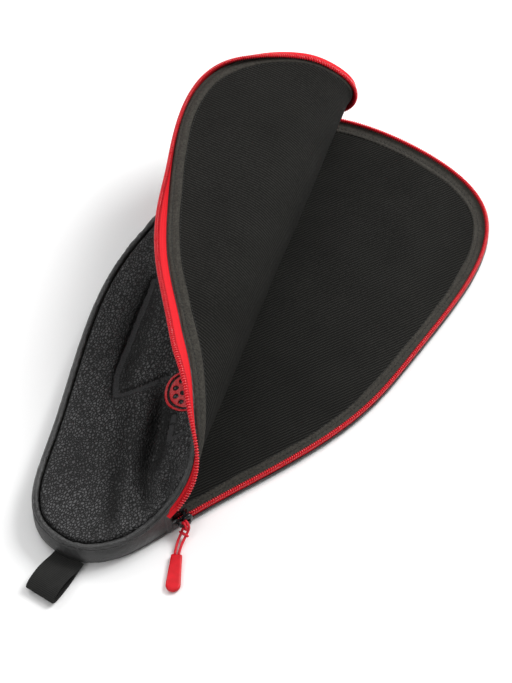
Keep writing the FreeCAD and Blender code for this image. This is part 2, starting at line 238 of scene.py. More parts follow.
def swept(at, section):
    """Points of a section (inset, height) carried along the rim.

    section is rows of points, or one such set of rows for each place.
    """
    point, inwards = on_rim(at)
    section = np.broadcast_to(section, (len(at),) + np.shape(section)[-2:])
    flat = point[:, None] + inwards[:, None] * section[..., :1]
    return np.concatenate([flat, section[..., 1:2]], axis=2)


def inset_of(points):
    """Distance of points in from the rim."""
    found = np.empty(len(points))
    for first in range(0, len(points), 4000):
        part = points[first : first + 4000, None, :2]
        gap = np.linalg.norm(part - rim_points[None, ::4], axis=2)
        found[first : first + 4000] = gap.min(axis=1)
    return found


# ---- mesh making


def grid_faces(rows, columns, round_rows=False, round_columns=False):
    """Quads of a grid of points, row by row."""
    row = np.arange(rows if round_rows else rows - 1)
    column = np.arange(columns if round_columns else columns - 1)
    row, column = (index.ravel() for index in np.meshgrid(row, column, indexing="ij"))
    below, right = (row + 1) % rows, (column + 1) % columns
    corners = ((row, column), (below, column), (below, right), (row, right))
    return np.column_stack([r * columns + c for r, c in corners])


def tube(points):
    """A grid of points that closes across, with its faces."""
    return points, grid_faces(*points.shape[:2], round_columns=True)


def capped(points, *rows):
    """A tube with a face across each of some rows."""
    sides = points.shape[1]
    points, faces = tube(points)
    return points, faces.tolist() + [[row * sides + k for k in range(sides)] for row in rows]


def join_grids(*grids):
    """Several shapes as one; a shape is (points, faces), here and below."""
    points, faces, count = [], [], 0
    for grid_points, grid in grids:
        points.append(np.reshape(grid_points, (-1, 3)))
        faces += [[int(i) + count for i in face] for face in grid]
        count += len(points[-1])
    return np.vstack(points), faces


def new_mesh(name, points, faces):
    """A Blender mesh of points and faces."""
    mesh = bpy.data.meshes.new(name)
    mesh.from_pydata([tuple(p) for p in points], [], [tuple(map(int, f)) for f in faces])
    return mesh


def placed(name, data):
    """A new object in the scene."""
    made = bpy.data.objects.new(name, data)
    bpy.context.scene.collection.objects.link(made)
    return made


def editable(points, faces, weld=0.01 * MM):
    """A bmesh of points and faces, points closer than weld made one."""
    mesh = new_mesh("making", np.reshape(points, (-1, 3)), faces)
    made = bmesh.new()
    made.from_mesh(mesh)
    bpy.data.meshes.remove(mesh)
    if weld:
        bmesh.ops.remove_doubles(made, verts=made.verts, dist=weld)
    return made


def slice_at(made, spot, normal, within):
    """Cut a bmesh's faces along a plane, keeping both sides."""
    geometry = list(made.verts) + list(made.edges) + list(made.faces)
    plane = {"plane_co": Vector(spot), "plane_no": Vector(normal)}
    bmesh.ops.bisect_plane(made, geom=geometry, dist=within, **plane)


def taken_from(made):
    """Points and faces of a bmesh."""
    made.verts.index_update()
    points = np.array([v.co for v in made.verts])
    return points, [[v.index for v in face.verts] for face in made.faces]


def normals_of(made):
    """The bmesh's normals at its points; the bmesh is done with."""
    made.normal_update()
    normals = np.array([v.normal for v in made.verts])
    made.free()
    return normals


def finish_piece(name, points, faces, places, look, normals=None):
    """A mesh object with its look; places say where its points lie in the closed case."""
    mesh = new_mesh(name, points, faces)
    where = mesh.attributes.new("place", "FLOAT_VECTOR", "POINT")
    where.data.foreach_set("vector", np.asarray(places, np.float32).ravel())
    for polygon in mesh.polygons:
        polygon.use_smooth = True
    mesh.materials.append(look[0])
    mesh.update()
    if normals is not None:
        mesh.normals_split_custom_set_from_vertices([tuple(n) for n in normals])
    piece = placed(name, mesh)
    return piece


def cut_out(name, mine, rest, closed, quads, normals, look):
    """A piece made of chosen faces, and the numbers of its points."""
    used = np.unique(np.concatenate([quads[i] for i in mine]))
    renumber = np.full(len(rest), -1)
    renumber[used] = np.arange(len(used))
    own = [renumber[quads[i]] for i in mine]
    return finish_piece(name, rest[used], own, closed[used], look, normals[used]), used


def fixed(name, points, faces, look, body="base", node=None):
    """A piece that rides on one body, and may stand for a CAD node."""
    made = editable(points, faces)
    bmesh.ops.recalc_face_normals(made, faces=made.faces)
    spots, quads = taken_from(made)
    made.free()
    piece = finish_piece(name, spots, quads, spots, look)
    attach(piece, body)
    if node:
        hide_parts(node)
    return piece


# ---- the rolled front

# Where the soft edge is drawn in: share of the rim, how far, and how wide a stretch.
TUCKS = [(0.206, 5.4 * MM, 46 * MM), (0.127, -5.6 * MM, 26 * MM)]
# The soft corner by the fold's head end hangs a little lower than the roll.
SAG = 6.5 * MM
SAG_PLACE = (0.415, 0.076)
SAG_SPREAD = (0.045, 0.026)


def roll(flat):
    """Where the rolled-back front holds points of the flat, closed case."""
    flat = flat.copy()
    for share, amount, spread in TUCKS:
        point, inwards = on_rim(share * RIM_LENGTH)
        near = hump(np.linalg.norm(flat[:, :2] - point, axis=1), spread)
        flat[:, :2] += amount * near[:, None] * inwards
    across = past_fold(flat)
    depth = FACE - flat[:, 2]
    inside = np.clip(across, 0, fold_length)
    angle = inside / fold_step * fold_turn
    past = across - inside
    reach = (fold_radius + depth) * sin(angle) + past * cos(angle)
    height = FACE + fold_radius - (fold_radius + depth) * cos(angle) + past * sin(angle)
    moved = flat + fold_across * (reach - across)[:, None]
    lengthwise = hump((flat - fold_start) @ fold_along - SAG_PLACE[0], SAG_SPREAD[0])
    moved[:, 2] = height - SAG * lengthwise * hump(across - SAG_PLACE[1], SAG_SPREAD[1])
    return moved


def stretch_names(word):
    """Piece names and CAD nodes of one front layer, in order."""
    numbers = range(1, FOLDS + 1)
    strips = [("front_%s_roll_%d" % (word, k), "fold_%d_%s" % (k, word)) for k in numbers]
    first = "front_%s_fixed" % word, "front_" + word
    return [first, *strips, ("flap_%s_outer" % word, "flap_" + word)]


def hang_between(piece):
    """Bake a piece's transform into its mesh; it is not tied to any hinge or body."""
    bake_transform(piece)


def rolled(word, points, faces, look, slices=1, nodes=True):
    """Roll a flat layer back and cut it into pieces, one for each stretch."""
    made = editable(points, faces)
    reach = past_fold(np.array([v.co for v in made.verts]))
    for cut in range(FOLDS * slices + 1):
        distance = cut * fold_step / slices
        if reach.min() < distance < reach.max():
            slice_at(made, fold_start + fold_across * distance, fold_across, 0.002 * MM)
    bmesh.ops.recalc_face_normals(made, faces=made.faces)
    flat, quads = taken_from(made)
    rest = roll(flat)
    for vertex, place in zip(made.verts, rest):
        vertex.co = place
    normals = normals_of(made)
    across = past_fold(flat)
    middle = np.array([across[quad].mean() for quad in quads])
    stretch = np.clip(np.ceil(middle / fold_step), 0, FOLDS + 1).astype(int)
    pieces = []
    for number, (name, node) in enumerate(stretch_names(word)):
        mine = np.flatnonzero(stretch == number)
        if not len(mine):
            continue
        piece, used = cut_out(name, mine, rest, flat, quads, normals, look)
        if number in (0, FOLDS + 1):
            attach(piece, FOLD_BODIES[min(number, FOLDS)])
        else:
            hang_between(piece)
        if nodes:
            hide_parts(*[node] if node in frame["nodes"] else [])
        pieces.append(piece)
    return pieces


# ---- materials


def grey(value):
    """A grey of one brightness."""
    return (value,) * 3


class Look:
    """A material with a Principled shader, and a short way to add nodes to it."""

    def __init__(self, name, roughness, place="place", **plain):
        self.material = bpy.data.materials.new(name)
        self.material.use_nodes = True
        self.tree = self.material.node_tree
        self.shader = self.tree.nodes["Principled BSDF"]
        self.shader.inputs["Roughness"].default_value = roughness
        for socket, value in plain.items():
            self.shader.inputs[socket.replace("_", " ")].default_value = value
        if place == "object":
            self.where = self.add("TexCoord", {}).outputs["Object"]
        else:
            self.where = self.add("Attribute", {}, attribute_name=place).outputs["Vector"]

    def add(self, kind, inputs, **settings):
        """A node with some settings, and some inputs set or linked."""
        node = self.tree.nodes.new("ShaderNode" + kind)
        for name, value in settings.items():
            setattr(node, name, value)
        for name, value in inputs.items():
            if isinstance(value, bpy.types.NodeSocket):
                self.tree.links.new(value, node.inputs[name])
            else:
                node.inputs[name].default_value = value
        return node

    def noise(self, size, detail=3.0, roughness=0.55):
        """Noise with lumps of about a size, in metres."""
        kind = {"Scale": 1 / size, "Detail": detail, "Roughness": roughness}
        return self.add("TexNoise", {"Vector": self.where, **kind}).outputs["Fac"]

    def cells(self, size, feature="DISTANCE_TO_EDGE", where=None):
        """Distance in a field of cells of about a size, in metres."""
        inputs = {"Vector": where or self.where, "Scale": 1 / size, "Randomness": 1.0}
        return self.add("TexVoronoi", inputs, feature=feature).outputs["Distance"]

    def waves(self, pitch, degrees, distortion=0.0, detail=2.0):
        """Rounded ribs a pitch apart, running at an angle."""
        turn = {"Vector": self.where, "Rotation": (0, 0, np.radians(degrees))}
        place = self.add("Mapping", turn).outputs["Vector"]
        kind = {"Scale": pi * 2 / 20 / pitch, "Distortion": distortion, "Detail": detail}
        node = self.add("TexWave", {"Vector": place, **kind}, wave_type="BANDS")
        node.bands_direction = "X"
        return node.outputs["Fac"]

    def height(self):
        """The place's height."""
        return self.add("SeparateXYZ", {"Vector": self.where}).outputs["Z"]

    def math(self, operation, first, second=0.0):
        """One sum of two numbers or sockets."""
        return self.add("Math", {0: first, 1: second}, operation=operation).outputs[0]

    def times(self, first, *others):
        """A product of values."""
        for other in others:
            first = self.math("MULTIPLY", first, other)
        return first

    def ramp(self, value, low=0.3, high=0.7, first=0.0, second=1.0):
        """value between low and high, stretched to first and second."""
        ends = {"From Min": low, "From Max": high, "To Min": first, "To Max": second}
        return self.add("MapRange", {"Value": value, **ends}).outputs["Result"]

    def colour(self, part, dark, light):
        """Colour it from dark, where part is 0, to light, where it is 1."""
        ends = {"Factor": part, "A": (*dark, 1), "B": (*light, 1)}
        mixed = self.add("Mix", ends, data_type="RGBA").outputs["Result"]
        self.tree.links.new(mixed, self.shader.inputs["Base Color"])

    def roughness(self, value, first, second, low=0.3, high=0.7):
        """Roughness from first to second, as value goes from low to high."""
        rough = self.ramp(value, low, high, first, second)
        self.tree.links.new(rough, self.shader.inputs["Roughness"])

    def bumpy(self, *layers):
        """The material, with layers of (height, depth in metres) in its normal."""
        normal = {}
        for height, depth in layers:
            inputs = {"Height": height, "Distance": depth, "Strength": 1.0, **normal}
            normal = {"Normal": self.add("Bump", inputs).outputs["Normal"]}
        self.tree.links.new(normal["Normal"], self.shader.inputs["Normal"])
        return self.material


def leather_look(name, painted_crease_shade=False):
    """Black pebbled leatherette; the front panel's copy is darkened in its creases, as painted
    shade.
    """
    look = Look(name, 0.5, Specular_IOR_Level=0.38)
    wander = look.add("TexNoise", {"Vector": look.where, "Scale": 1 / (3 * MM), "Detail": 2.0})
    shift = {"Color1": look.where, "Color2": wander.outputs["Color"], "Fac": 0.0012}
    bent = look.add("MixRGB", shift, blend_type="ADD").outputs["Color"]
    turn = {"Vector": bent, "Scale": (1.0, 1.5, 1.0), "Rotation": (0, 0, np.radians(35))}
    place = look.add("Mapping", turn).outputs["Vector"]
    raised = look.ramp(look.cells(2.5 * MM, where=place), 0.04, 0.24)
    broad = look.noise(26 * MM, 2.0)
    # Painted shade: the colour is near black in the gaps between pebbles and lighter on their
    # tops; the broad noise is random tone.
    tone = look.times(raised, look.ramp(broad, first=0.72))
    # Painted shade: the colour darkens where the panel lies deeper, in its creases and channels.
    if painted_crease_shade:
        deep, proud = FACE - 3.2 * MM, FACE + 0.7 * MM
        tone = look.times(tone, look.ramp(look.height(), deep, proud, 0.04))
    look.colour(tone, grey(0.0015), (0.088, 0.088, 0.090))
    look.roughness(raised, 0.70, 0.50, 0, 1)
    return look.bumpy((raised, 0.55 * MM), (look.noise(0.5 * MM), 0.05 * MM), (broad, 0.5 * MM))


def smooth_leather_look(name, gloss, shade, wrinkle_size, wrinkle_depth):
    """Smooth black leatherette with soft wrinkles and a low sheen."""
    look = Look(name, gloss, Specular_IOR_Level=0.55)
    wrinkles = look.noise(wrinkle_size, 3.0, 0.6)
    broad = look.noise(18 * MM, 2.0)
    look.colour(look.ramp(broad, first=0.2), grey(0.012 * shade), grey(0.034 * shade))
    look.roughness(wrinkles, gloss - 0.08, gloss + 0.12)
    grain = look.cells(0.9 * MM)
    return look.bumpy((wrinkles, wrinkle_depth), (grain, 0.18 * MM), (broad, 0.6 * MM))


def knit_look(name, degrees):
    """Charcoal ribbed knit, its wales broken, with lighter yarn here and there; darker in the
    troughs between ribs, as painted shade.
    """
    look = Look(name, 0.95, Specular_IOR_Level=0.12)
    ribs = look.waves(2.0 * MM, degrees, 0.7, 1.0)
    wales = look.waves(1.1 * MM, degrees + 90, 2.0)
    yarn = look.noise(0.7 * MM, 3.0, 0.7)
    height = look.times(ribs, look.ramp(wales, 0, 1, 0.6))
    # Painted shade: the colour darkens in the troughs between ribs; the yarn and broad noise are
    # random tone.
    tone = look.times(
        look.ramp(height, 0, 1, 0.12, 1.15),
        look.ramp(yarn, 0.34, 0.66, 0.35, 1.35),
        look.ramp(look.noise(38 * MM, 2.0), first=0.78, second=1.08),
    )
    look.colour(tone, (0.0020, 0.0020, 0.0018), (0.030, 0.0295, 0.027))
    return look.bumpy((height, 0.42 * MM), (yarn, 0.16 * MM))


def thread_look(name, dark, light):
    """Twisted sewing thread."""
    look = Look(name, 0.7)
    twist = look.waves(0.5 * MM, 35)
    look.colour(look.ramp(twist, 0, 1, 0.2), dark, light)
    return look.bumpy((twist, 0.08 * MM))


# Each of these is a look and the record's material slot that it belongs to.
leather = leather_look("pebbled_leatherette"), "leatherette"
# The front panel's leather, with painted shade in its creases.
front_leather = leather_look("front_pebbled_leatherette", painted_crease_shade=True), "leatherette"
gusset_leather = smooth_leather_look("gusset_leatherette", 0.40, 0.9, 4 * MM, 0.6 * MM)
smooth_leather = gusset_leather, "leatherette"
# Painted highlight: the piping's colour is set lighter than the gusset's, 1.3 against 0.9,
# though both are the same black leatherette.
edge_leather = smooth_leather_look("piping_leatherette", 0.34, 1.3, 2 * MM, 1.1 * MM), "piping"
front_knit = knit_look("front_ribbed_knit", -26), "lining"
back_knit = knit_look("back_ribbed_knit", -62), "lining"
red_thread = thread_look("red_thread", (0.30, 0.001, 0.004), (0.62, 0.002, 0.012)), "zipper_tape"
dark_thread = thread_look("dark_thread", grey(0.002), (0.012, 0.012, 0.011)), "binding"

# Warm grey seam binding, a fine twill with a soft nap.
look = Look("seam_binding", 0.95, Specular_IOR_Level=0.15)
twill = look.waves(0.8 * MM, 50, 0.6)
nap = look.noise(1.3 * MM, 4.0, 0.75)
tone = look.times(
    look.ramp(nap, 0.36, 0.64, 0.35, 1.15),
    look.ramp(twill, 0, 1, 0.8),
    look.ramp(look.noise(9 * MM, 2.0), first=0.85, second=1.05),
)
look.colour(tone, (0.010, 0.0094, 0.008), (0.064, 0.060, 0.052))
binding = look.bumpy((twill, 0.10 * MM), (nap, 0.14 * MM)), "binding"

# Bright red woven zipper tape.
look = Look("zipper_tape", 0.7, Specular_IOR_Level=0.3)
warp = look.waves(0.55 * MM, 20, 0.4)
rows = look.math("SINE", look.times(look.height(), 2 * pi / (1.15 * MM)))
bands = look.ramp(rows, -1, 1)
yarn = look.noise(0.5 * MM, 3.0, 0.7)
tone = look.times(
    look.ramp(warp, 0, 1, 0.82),
    look.ramp(yarn, first=0.85, second=1.05),
    look.ramp(bands, 0, 1, 0.88),
)
look.colour(tone, (0.42, 0.001, 0.005), (0.80, 0.004, 0.014))
tape = look.bumpy((warp, 0.06 * MM), (bands, 0.12 * MM), (yarn, 0.05 * MM)), "zipper_tape"

# Glossy red nylon coil, paler and rougher in small random spots, a painted highlight.
look = Look("zipper_coil", 0.28, Coat_Weight=0.6, Coat_Roughness=0.12)
painted_highlight_spots = look.noise(1.6 * MM, 2.0)
look.colour(look.ramp(painted_highlight_spots, 0.42), (0.68, 0.002, 0.012), (0.80, 0.010, 0.030))
look.roughness(painted_highlight_spots, 0.24, 0.42)
coil = look.bumpy((look.noise(0.6 * MM), 0.03 * MM)), "zipper_coil"

# Dark closed-cell foam.
look = Look("closed_cell_foam", 0.85)
cells = look.cells(0.8 * MM, "F1")
look.colour(look.ramp(cells, 0, 0.6), (0.05, 0.05, 0.052), (0.02, 0.02, 0.021))
foam = look.bumpy((cells, 0.15 * MM)), "foam"

# Black enamelled metal with faint casting unevenness.
shine = {"Specular_IOR_Level": 0.3, "Coat_Weight": 0.15, "Coat_Roughness": 0.08}
look = Look("black_enamel", 0.22, "object", **shine)
uneven = look.noise(2.2 * MM)
look.colour(look.ramp(uneven), (0.006, 0.006, 0.007), (0.018, 0.018, 0.019))
look.roughness(uneven, 0.16, 0.30)
metal = look.bumpy((uneven, 0.06 * MM)), "slider_metal"

# Soft red moulded rubber.
look = Look("red_rubber", 0.45, "object", Specular_IOR_Level=0.3)
soft, fine = look.noise(5 * MM, 2.0), look.noise(0.4 * MM, 2.0)
look.colour(look.ramp(soft), (0.56, 0.001, 0.008), (0.68, 0.002, 0.012))
look.roughness(fine, 0.38, 0.5)
rubber = look.bumpy((fine, 0.03 * MM), (soft, 0.15 * MM)), "tab_rubber"

# Braided red cord.
look = Look("braided_cord", 0.6, "object")
strands = look.math("MAXIMUM", look.waves(1.0 * MM, 62, 0.5), look.waves(1.0 * MM, -4, 0.5))
look.colour(look.ramp(strands, 0, 1, 0.1), (0.36, 0.001, 0.01), (0.80, 0.003, 0.020))
braid = look.bumpy((strands, 0.16 * MM)), "cord"

# Black ribbed webbing.
look = Look("ribbed_webbing", 0.8, Specular_IOR_Level=0.25)
yarn = look.noise(0.6 * MM, 3.0, 0.7)
tone = look.times(look.ramp(yarn, first=0.5), look.ramp(look.noise(9 * MM, 2.0), first=0.7))
look.colour(tone, grey(0.004), (0.024, 0.024, 0.023))
webbing = look.bumpy((yarn, 0.12 * MM)), "webbing"

# Red printed film, its surface following the grain under it.
look = Look("red_print", 0.45)
pebbles = look.ramp(look.cells(1.7 * MM), 0.0, 0.3)
look.colour(look.ramp(pebbles, 0, 1, 0.3), (0.42, 0.001, 0.006), (0.66, 0.002, 0.010))
printed = look.bumpy((pebbles, 0.12 * MM)), "mark"

# ---- shapes of the layers

# Soft creases and ridges of the front panel, in mm: x and y of both ends, height, half width.
WRINKLES = [
    (-199, -29, -176, -14, -2.2, 4.0), (-180, -17, -152, -2, -3.0, 5.5),
    (-152, -2, -110, 21, -2.6, 7.0), (-212, -19, -195, -17, -1.5, 2.8),
    (-165, -36, -147, -22, -2.0, 3.6), (-147, -20, -124, -10, -4.4, 7.0),
    (-128, -12, -102, 0, -6.2, 7.5), (-106, -2, -80, 12, -5.0, 7.0),
    (-152, -46, -137, -33, -1.8, 3.2), (-136, -42, -126, -27, -1.6, 3.4),
    (-116, -38, -96, -28, -1.6, 4.5), (-15, 70, -62, 54, -4.6, 10.0),
    (-58, 55, -96, 34, -3.4, 9.0), (-185, 20, -140, 30, -1.0, 9.0),
    (-196, -34, -178, -24, 2.0, 3.4), (-170, -22, -148, -12, 1.8, 5.0),
    (-142, 6, -100, 30, 1.5, 8.0), (-158, -41, -136, -27, 1.9, 3.6),
    (-128, -37, -108, -22, 2.2, 5.0), (-146, -52, -130, -40, 1.3, 3.4),
    (-104, -26, -84, -14, 1.8, 6.0), (-190, -6, -168, 6, 1.2, 7.0),
]
# Centre lines of the channels pressed into the front panel, in mm.
CHANNEL = [(-5, 75), (-36, 65.6), (-70, 54), (-88, 47), (-102.5, 37.5), (-88.4, 27), (-70, 17)]
SMALL_CHANNEL = [(-93, -5), (-111, -13.5), (-103, -21.5)]
CHANNEL_HALF_WIDTH = 2.7 * MM
CHANNEL_WALL = 0.7 * MM
CHANNEL_DEPTH = 1.8 * MM

# Where a panel's rings end: a line along its middle, which the rest runs in to.
SPINE_FIRST = -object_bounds()[1].x * 0.75
SPINE_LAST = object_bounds()[1].x * 0.55


def line_distance(points, first, last):
    """Distance from points to a line between two places, and how far along."""
    points = points[:, :2]
    first, last = np.array(first) * MM, np.array(last) * MM
    run = last - first
    part = np.clip(((points - first) @ run) / (run @ run), 0, 1)
    return np.linalg.norm(points - first - part[:, None] * run, axis=1), part


def broad_relief(points):
    """Height of the soft panel above its flat shape."""
    height = np.zeros(len(points))
    for *places, rise, width in WRINKLES:
        gap, part = line_distance(points, places[:2], places[2:])
        ends = 0.55 if rise < 0 else 0.4
        height += rise * MM * hump(gap, width * MM) * (ends + (1 - ends) * sin(part * pi))
    return height


def front_relief(points):
    """Height of the front leather, channels and all."""
    height = broad_relief(points)
    for route in (CHANNEL, SMALL_CHANNEL):
        gaps = [line_distance(points, *ends)[0] for ends in zip(route, route[1:])]
        nearest = np.min(gaps, axis=0)
        pressed = np.clip((CHANNEL_HALF_WIDTH - nearest) / CHANNEL_WALL * 0.5 + 0.5, 0, 1)
        height -= CHANNEL_DEPTH * pressed
    return height


def panel_grid(insets, rises, base, count, inner_step):
    """A sheet inside the rim: rings near the rim, then rings on to the spine.

    insets and rises, in millimetres, place the rings near the rim; base is a height.
    """
    section = np.column_stack([insets, rises]) * MM + np.array([0, base])
    rings = swept(round_rim(count), section)
    last = rings[:, -1]
    spine = last.copy()
    spine[:, 0] = np.clip(last[:, 0], SPINE_FIRST, SPINE_LAST)
    spine[:, 1] = 0.0
    steps = int(np.linalg.norm(last - spine, axis=1).max() / inner_step)
    parts = np.linspace(0, 1, steps + 1)[1:, None]
    inner = last[:, None] * (1 - parts) + spine[:, None] * parts
    points = np.concatenate([rings, inner], axis=1)
    return points.reshape(-1, 3), grid_faces(count, points.shape[1], round_rows=True)


def make_front_cover():
    """The front panel's leather, turned down into the groove at its edge."""
    edge = [4.6, 5.0, 5.5, 6.0, 6.6, 7.3, 8.3, 9.6, 11.2, 13.0]
    drop = [-4.2, -3.6, -1.6, -0.5, 0.1, 0.45, 0.6, 0.55, 0.45, 0.35]
    flat, faces = panel_grid(edge, drop, FACE, 1000, 1.15 * MM)
    x, y = flat[:, 0], flat[:, 1]
    inset = inset_of(flat)
    pucker = 0.28 * MM * sin(x / (3.1 * MM)) * cos(y / (2.7 * MM) + x / (9 * MM))
    by_edge = plateau(inset, 4.6 * MM, 6 * MM, 8 * MM, 14 * MM)
    flat[:, 2] += front_relief(flat) * ramp_up(inset, 5.5 * MM, 10 * MM) + pucker * by_edge
    return rolled("cover", flat, faces, front_leather, slices=3)


def knit_sheet(base, inwards, amount, waves):
    """A knit lining, gently uneven.

    base is the height it lies at and inwards 1 or -1, the way into the case.
    """
    rises = inwards * np.array([-0.9, -0.1, 0.0, 0.25])
    flat, faces = panel_grid([5.0, 5.4, 7.0, 11.0], rises, base, 420, 3.2 * MM)
    (long, ahead), (short, aside) = waves
    swell = sin(flat[:, 0] / long + ahead) * cos(flat[:, 1] / short + aside)
    flat[:, 2] += amount * swell * ramp_up(inset_of(flat), 10 * MM, 24 * MM)
    return flat, faces


def make_front_lining():
    """The knit face inside the front panel."""
    flat, faces = knit_sheet(FRONT_KNIT, -1, 0.5 * MM, ((31 * MM, 1.3), (23 * MM, 0)))
    flat[:, 2] += broad_relief(flat) * ramp_up(inset_of(flat), 8 * MM, 16 * MM)
    return rolled("lining", flat, faces, front_knit, slices=4)


def make_back_panel():
    """The back panel's leather underside and knit inside."""
    edge = [4.5, 4.7, 5.0, 5.6, 6.6, 9.0, 13.0]
    rise = [2.4, 1.3, 0.7, 0.35, 0.15, 0.05, 0.02]
    skin = panel_grid(edge, rise, 0, 420, 5 * MM)
    knit = knit_sheet(BACK_KNIT, 1, 0.45 * MM, ((37 * MM, 0), (27 * MM, 0.6)))
    return (
        fixed("back_cover_leather", *skin, leather, node="back_cover"),
        fixed("back_lining_knit", *knit, back_knit, node="back_lining"),
    )


def foam_sheet(low, high, relief=False):
    """A closed sheet of foam between two heights."""
    count = 360
    sheets = []
    for height in (low, high):
        flat, faces = panel_grid([6.0, 6.2, 9.0], [0, 0, 0], height, count, 4 * MM)
        if relief:
            flat[:, 2] += broad_relief(flat) * ramp_up(inset_of(flat), 8 * MM, 14 * MM)
        sheets.append(flat)
    wall = np.stack([sheet[:: len(sheet) // count] for sheet in sheets], axis=1)
    wall_faces = grid_faces(count, 2, round_rows=True)
    return join_grids(*[(sheet, faces) for sheet in sheets], (wall, wall_faces))


# ---- piping, bindings, stitches

PIPING_RADIUS = 2.1 * MM
PIPING_INSET = 2.5 * MM
STITCH_STEP = 3.4 * MM
STITCH_LENGTH = 2.2 * MM
STITCH_RADIUS = 0.34 * MM


def wrinkled_tube(count, inset, height, radius, sides, seed):
    """A leather-covered cord along the rim, finely wrinkled across."""
    noise = np.random.default_rng(seed)
    wrinkle = np.convolve(noise.normal(0, 1, count), [0.25, 0.5, 0.25], "same")
    ripple = 0.05 * sin(np.arange(sides) * 2.4 + noise.uniform(0, 6))
    swell = 1 + 0.10 * wrinkle[:, None] + ripple
    circle = radius * np.column_stack([cos(ring(sides)), sin(ring(sides))])
    section = circle * swell[..., None] + np.array([inset, height])
    section[..., 1] = np.maximum(section[..., 1], 0)
    faces = grid_faces(count, sides, round_rows=True, round_columns=True)
    return swept(round_rim(count), section), faces


def piping_shape(face, inwards, seed):
    """A panel's piping cord and the narrow seam ridge beside it.

    face is the height of the panel's face and inwards 1 or -1, the way into the case.
    """
    height = face + inwards * PIPING_RADIUS
    cord = wrinkled_tube(900, PIPING_INSET, height, PIPING_RADIUS, 12, seed)
    ridge = wrinkled_tube(600, 0.55 * MM, face + inwards * 3.3 * MM, 0.75 * MM, 8, seed + 1)
    return join_grids(cord, ridge)


def stitch_row(inset, height):
    """Capsules lying along the rim on a surface."""
    at = along_rim(0, RIM_LENGTH, STITCH_STEP)[:-1]
    sides, rings = 6, 5
    theta = np.linspace(0, pi, rings)[:, None]
    ahead = -cos(theta) * np.ones(sides) * STITCH_LENGTH / 2
    out = sin(theta) ** 0.6 * STITCH_RADIUS
    point, inwards = on_rim(at[:, None, None] + ahead)
    flat = point + inwards * (inset + out * cos(ring(sides)))[..., None]
    lift = np.broadcast_to(height + out * sin(ring(sides)), flat.shape[:-1])
    points = np.concatenate([flat, lift[..., None]], axis=-1)
    one = grid_faces(rings, sides, round_columns=True)
    faces = one[None] + (np.arange(len(at)) * rings * sides)[:, None, None]
    return points, faces.reshape(-1, 4)


def binding_shape(base, up, insets, lifts, wave, uneven, rows):
    """A seam binding and its two rows of stitches.

    base is the face it lies on and up the way it rises; the rest is in millimetres.
    """
    at = round_rim(700)
    long, short, shift = wave
    wave = sin(at / (long * MM)) + 0.7 * sin(at / (short * MM) + shift)
    insets, lifts = np.array(insets), np.array(lifts)
    section = np.zeros((len(at), len(insets), 2))
    section[:, :, 0] = insets + wave[:, None] * uneven[0] * (insets > 8)
    section[:, :, 1] = up * (lifts + wave[:, None] * uneven[1] * (lifts > 0.8))
    points = swept(at, section * MM + np.array([0, base]))
    stitches = [stitch_row(inset * MM, base + up * lift * MM) for inset, lift in rows]
    return (points, grid_faces(len(at), len(insets), round_rows=True)), join_grids(*stitches)


def make_bindings():
    """The bindings over the raw seams; the back one climbs the wall to the coil."""
    insets = [2.0, 2.3, 3.0, 4.0, 4.7, 5.2, 5.8, 7.0, 8.6, 9.9, 10.5, 10.4]
    lifts = [-0.2, 0.5, 1.1, 1.2, 0.85, 0.7, 0.9, 1.3, 1.3, 1.0, 0.3, -0.3]
    how = (17, 7.3, 1.0), (0.22, 0.14), ((5.2, 0.8), (11.1, 0.1))
    strip, stitches = binding_shape(FRONT_KNIT, -1, insets, lifts, *how)
    rolled("binding", *strip, binding, slices=3)
    rolled("binding_stitches", *stitches, dark_thread, 1, nodes=False)
    insets = [11.6, 11.4, 10.8, 9.4, 8.2, 7.6, 6.9, 5.6, 4.4, 3.6, 3.0, 2.6, 2.4]
    lifts = [-0.2, 0.5, 0.95, 1.1, 0.8, 0.6, 0.8, 1.1, 1.1, 1.7, 2.5, 3.0, 3.2]
    how = (19, 6.7, 0.4), (0.25, 0.12), ((7.6, 0.7), (10.7, 1.05))
    strip, stitches = binding_shape(BACK_KNIT, 1, insets, lifts, *how)
    fixed("back_binding_tape", *strip, binding, node="back_binding")
    fixed("back_binding_stitches", *stitches, dark_thread)


# ---- gusset, zipper


def wall_shape(at, outer, inner, height):
    """A wall along the rim, up its outer face and down its inner one."""
    rows = len(height)
    section = np.zeros((len(at), 2 * rows, 2))
    section[:, :rows, 0], section[:, rows:, 0] = outer, inner
    section[:, :, 1] = np.concatenate([height, height[::-1]])
    points, faces = tube(swept(at, section))
    return points.reshape(-1, 3), faces


def wall_at_rest(closed):
    """A wall lifted with the rolled panel, and the turns that close it.

    The turns are about the first hinge, in shares of one fold's full turn.
    """
    rise = np.clip((closed[:, 2] - WALL_LOW) / (WALL_HIGH - WALL_LOW), 0, 1)
    top = closed.copy()
    top[:, 2] = WALL_HIGH
    rest = closed + (roll(top) - top) * rise[:, None]
    lifted, shut = rest - hinges[0], closed - hinges[0]
    angle = np.arctan2(lifted[:, 2], lifted @ fold_across)
    angle -= np.arctan2(shut[:, 2], shut @ fold_across)
    turns = ((angle + pi) % (2 * pi) - pi) / fold_turn
    return rest, np.maximum(turns, 0)


def make_wall(word, closed, faces, look, node):
    """A wall in two parts: one fixed to the base, and one shaped to the lifted panel."""
    rest, turns = wall_at_rest(closed)
    made = editable(rest, faces, weld=0)
    bmesh.ops.recalc_face_normals(made, faces=made.faces)
    spots, quads = taken_from(made)
    normals = normals_of(made)
    middle = past_fold(np.array([spots[quad].mean(axis=0) for quad in quads]))
    for end, mine in (("_fixed", middle <= 0), ("_end", middle > 0)):
        mine = np.flatnonzero(mine)
        piece, used = cut_out(word + end, mine, spots, closed, quads, normals, look)
        if end == "_end":
            hang_between(piece)
        else:
            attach(piece, "base")
            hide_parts(node)


